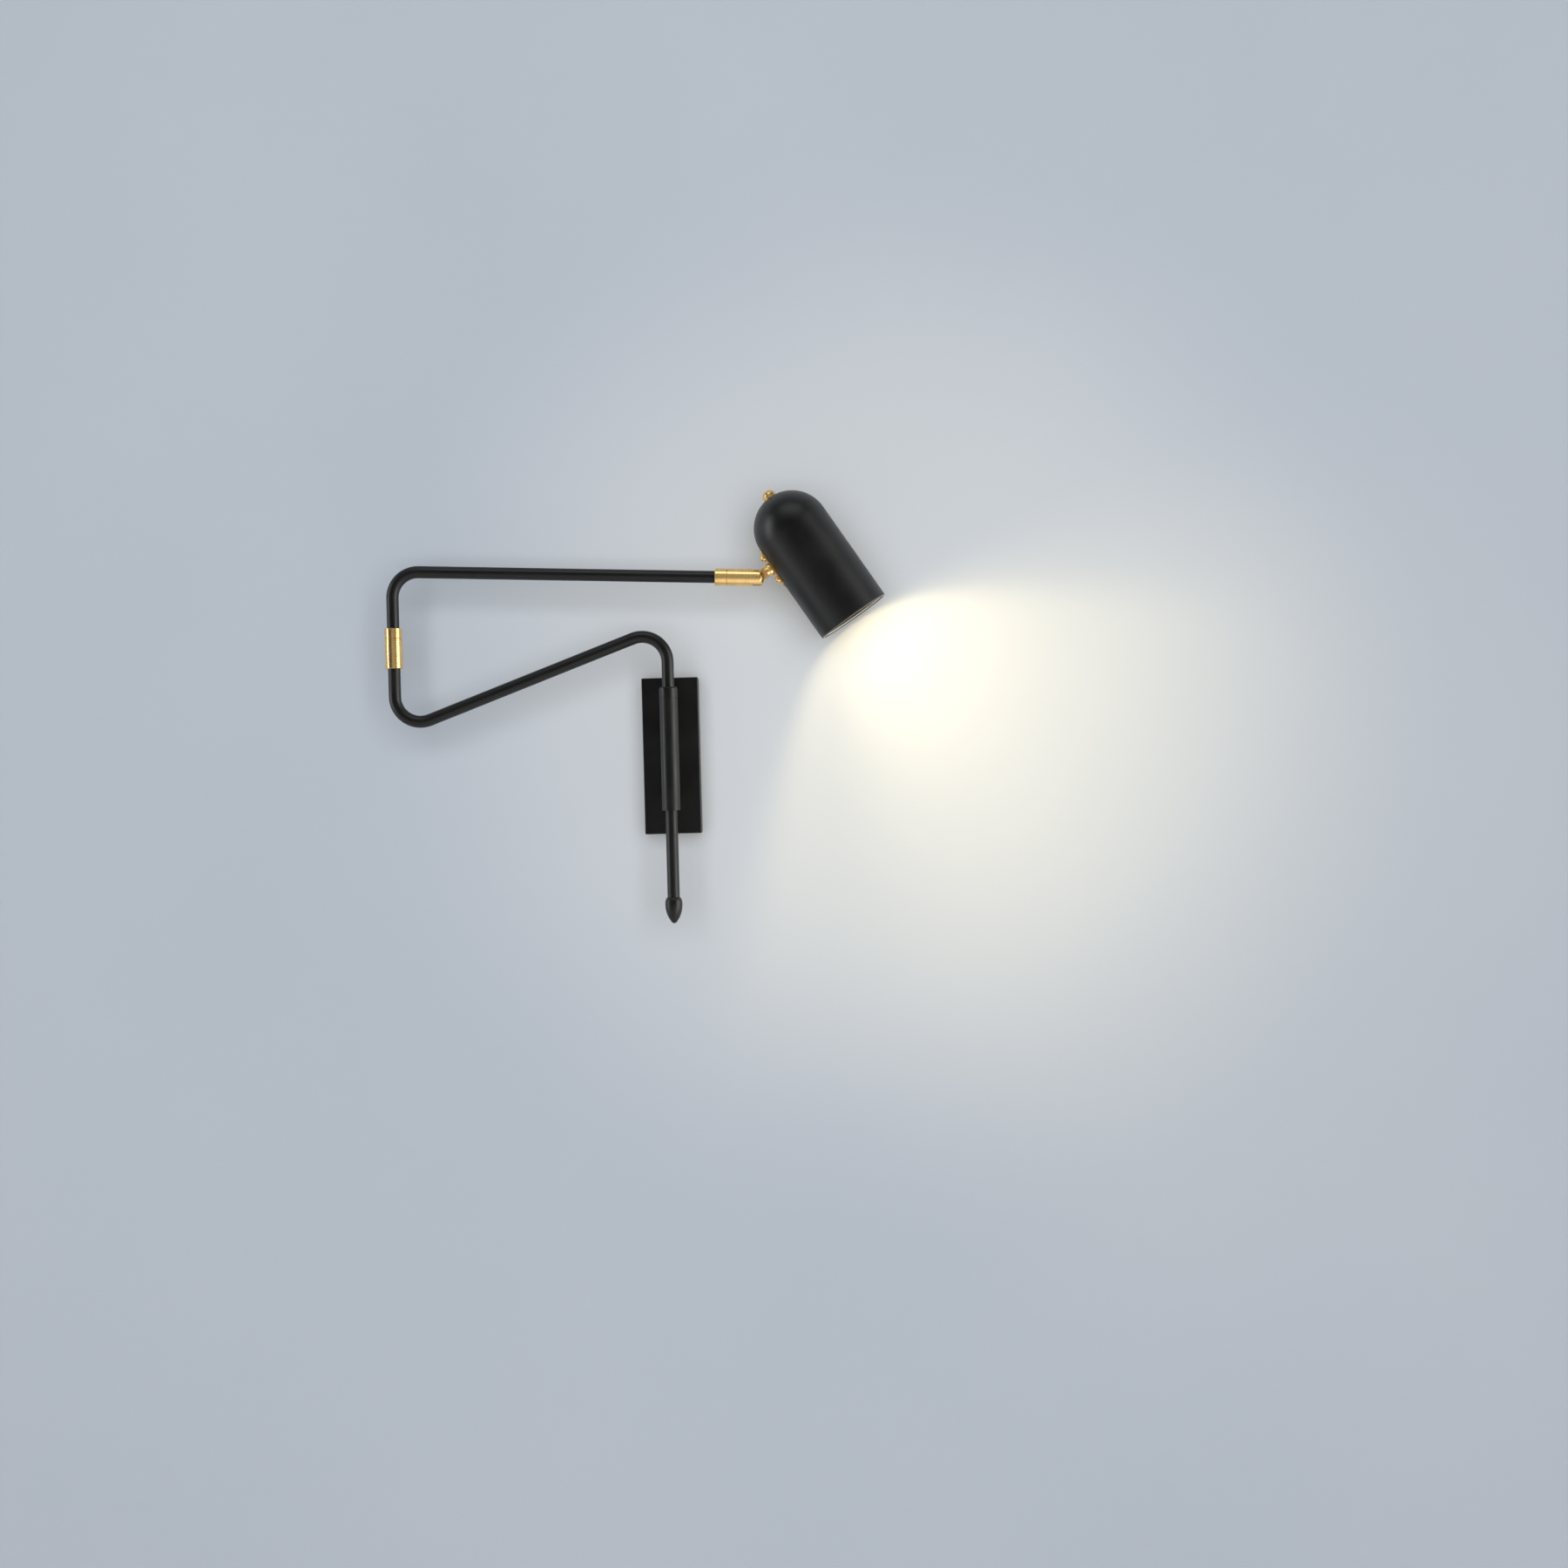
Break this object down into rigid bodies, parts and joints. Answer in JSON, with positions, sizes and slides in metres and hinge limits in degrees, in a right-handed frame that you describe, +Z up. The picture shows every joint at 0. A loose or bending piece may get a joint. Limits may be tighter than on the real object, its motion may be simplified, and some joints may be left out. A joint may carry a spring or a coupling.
{
  "type": "swing arm wall lamp",
  "caption": "Wall-mounted swing arm reading lamp: bent tube arms with a pivot sleeve, an elbow swivel and a bullet-shaped shade on a swivelling knuckle.",
  "frame": {"origin": "centre of the wall bracket's back face, on the wall", "axes": "+Y into the wall, +Z up, +X to the right along the wall as seen from the room; the lamp stands on the -Y side"},
  "size_m": [0.4911, 0.0875, 0.4221],
  "materials": {
    "black_paint": "satin powder coat, fine texture",
    "polished_brass": "polished, lacquered",
    "zinc_steel": "zinc plated",
    "plain_brass": "as turned",
    "white_paint": "semi-gloss stove enamel",
    "bush_acetal": "turned black acetal",
    "fibre": "vulcanised fibre",
    "block_plastic": "moulded polyamide",
    "holder_plastic": "moulded thermoset",
    "glazed_ceramic": "glazed",
    "cable_sheath": "smooth sheath",
    "bulb_metal": "satin",
    "bulb_plastic": "moulded, semi-gloss",
    "opal_globe": "opal diffuser, lit"
  },
  "bodies": {
    "wall_mount": {"backplate_cover": "black_paint", "wall_bracket": "zinc_steel", "cover_screws": "zinc_steel", "terminal_block": "block_plastic", "terminal_screws": "zinc_steel", "earth_screw": "zinc_steel", "pivot_sleeve": "black_paint", "sleeve_standoffs": "black_paint", "standoff_washers": "zinc_steel", "standoff_nuts": "zinc_steel", "sleeve_bushes": "bush_acetal", "thrust_washer": "bush_acetal", "stop_screw": "zinc_steel", "supply_lead": "cable_sheath"},
    "lower_arm": {"lower_arm_tube": "black_paint", "stop_collar": "black_paint", "collar_grub_screw": "zinc_steel", "finial_insert": "plain_brass", "drop_finial": "black_paint", "elbow_socket": "polished_brass", "elbow_grub_screw": "zinc_steel", "elbow_friction_washer": "fibre", "lower_arm_cable": "cable_sheath"},
    "upper_arm": {"upper_arm_tube": "black_paint", "elbow_cap": "polished_brass", "elbow_spindle": "plain_brass", "elbow_wave_washer": "zinc_steel", "elbow_nut": "plain_brass", "head_ferrule": "polished_brass", "head_spindle": "plain_brass", "head_wave_washer": "zinc_steel", "head_nut": "plain_brass", "upper_arm_grub_screws": "zinc_steel", "upper_arm_cable": "cable_sheath"},
    "head_swivel": {"swivel_barrel": "polished_brass", "head_friction_washer": "fibre", "knuckle_clevis": "polished_brass", "knuckle_pins": "polished_brass", "knuckle_cable": "cable_sheath"},
    "head": {"knuckle_tongue": "polished_brass", "knuckle_washers": "fibre", "saddle_plate": "polished_brass", "saddle_screws": "polished_brass", "saddle_nuts": "zinc_steel", "stud_nut": "zinc_steel", "shade": "black_paint", "reflector": "white_paint", "cap_nut": "polished_brass", "holder_nipple": "zinc_steel", "nipple_washer": "zinc_steel", "nipple_locknut": "zinc_steel", "lampholder": "glazed_ceramic", "holder_shell": "plain_brass", "holder_contact": "plain_brass", "reflector_ring": "holder_plastic", "head_cable": "cable_sheath", "bulb_base": "bulb_metal", "bulb_collar": "bulb_plastic", "bulb_globe": "opal_globe"}
  },
  "joints": [
    {"name": "base_swing", "type": "hinge", "parent": "wall_mount", "child": "lower_arm", "pos_m": [0, -0.05, 0], "axis": [0, 0, 1], "range_deg": [0, 180]},
    {"name": "elbow_swing", "type": "hinge", "parent": "lower_arm", "child": "upper_arm", "pos_m": [-0.268, -0.05, 0.1214], "axis": [0, 0, 1], "range_deg": [-175, 175]},
    {"name": "head_roll", "type": "hinge", "parent": "upper_arm", "child": "head_swivel", "pos_m": [0.0913, -0.05, 0.1718], "axis": [0.9991, 0, -0.0424], "range_deg": [-170, 170]},
    {"name": "head_tilt", "type": "hinge", "parent": "head_swivel", "child": "head", "pos_m": [0.0913, -0.05, 0.1718], "axis": [0, 1, 0], "range_deg": [-43, 115]}
  ]
}
